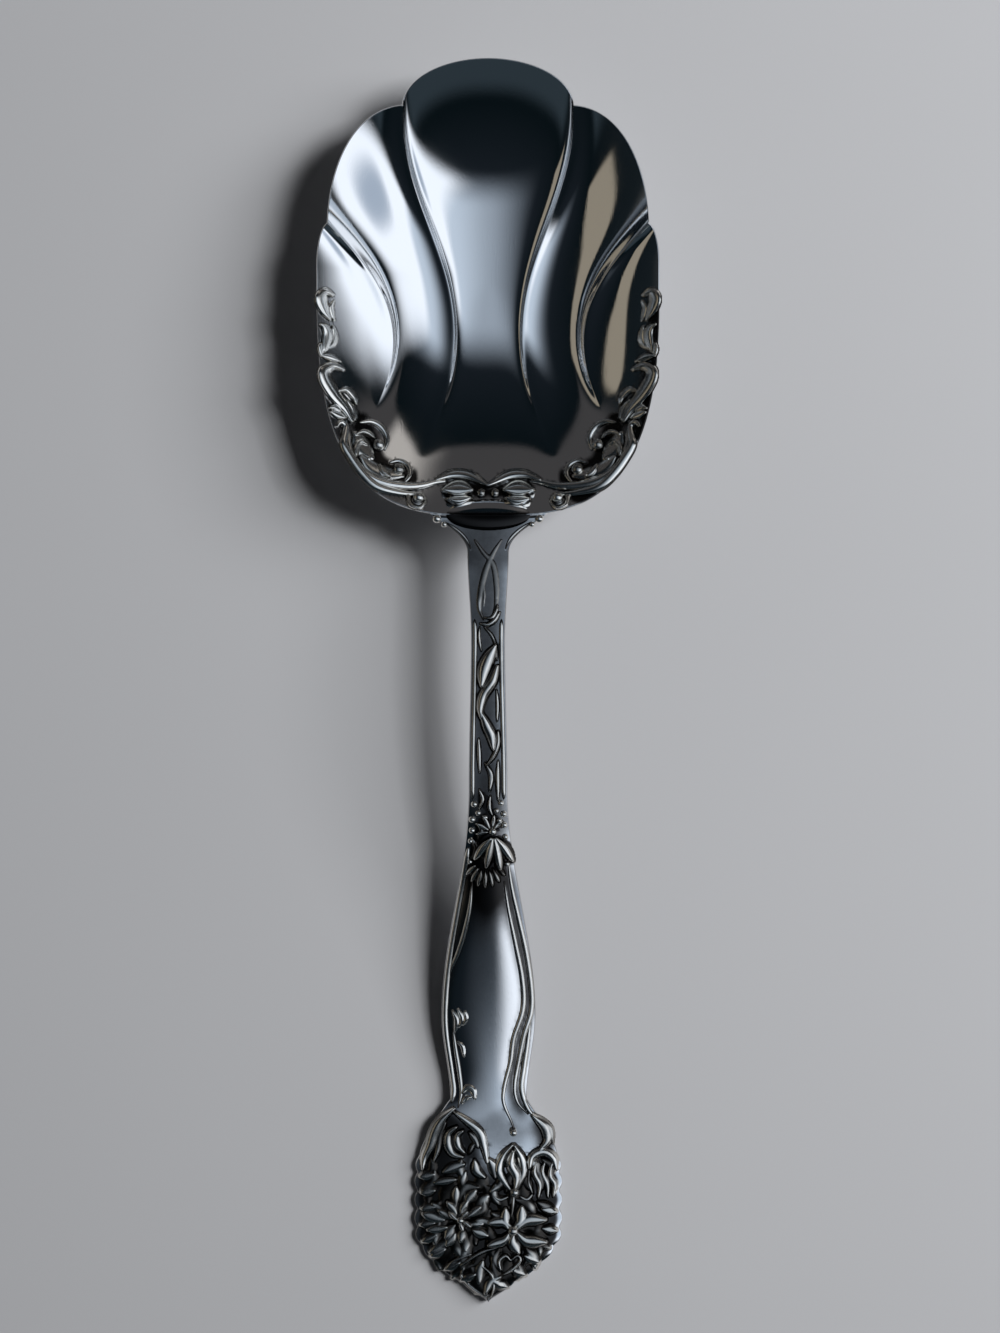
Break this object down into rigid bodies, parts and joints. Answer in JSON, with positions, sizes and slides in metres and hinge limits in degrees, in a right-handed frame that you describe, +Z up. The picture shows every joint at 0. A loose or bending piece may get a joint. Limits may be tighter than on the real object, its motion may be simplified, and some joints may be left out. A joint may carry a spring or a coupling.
{
  "type": "berry spoon",
  "caption": "Silver-plated berry serving spoon: broad fluted bowl with a scroll-bordered heel on an arched handle, with flower relief on its stem and terminal.",
  "frame": {"origin": "on the table plane, under the middle of the spoon's length and width", "axes": "+Y along the length from the handle's tip to the bowl's front lip, +X to the right seen from above with the bowl away from the viewer, +Z up out of the bowl"},
  "size_m": [0.0612, 0.2266, 0.018],
  "materials": {
    "polished_silver": "polished silver plate with fine wear scratches",
    "relief_silver": "silver plate, bright on the high parts and darkened with tarnish in the recesses"
  },
  "bodies": {
    "root": {"bowl": "polished_silver", "handle": "polished_silver", "border_left": "relief_silver", "border_right": "relief_silver", "heel_scrolls": "relief_silver", "heel_bib": "relief_silver", "stem_rails": "relief_silver", "stem_tendrils": "relief_silver", "stem_blossom": "relief_silver", "panel_stalks": "relief_silver", "panel_sprigs": "relief_silver", "terminal_aster": "relief_silver", "terminal_lily": "relief_silver", "terminal_bud": "relief_silver", "terminal_curls": "relief_silver", "terminal_leaves": "relief_silver"}
  },
  "joints": []
}
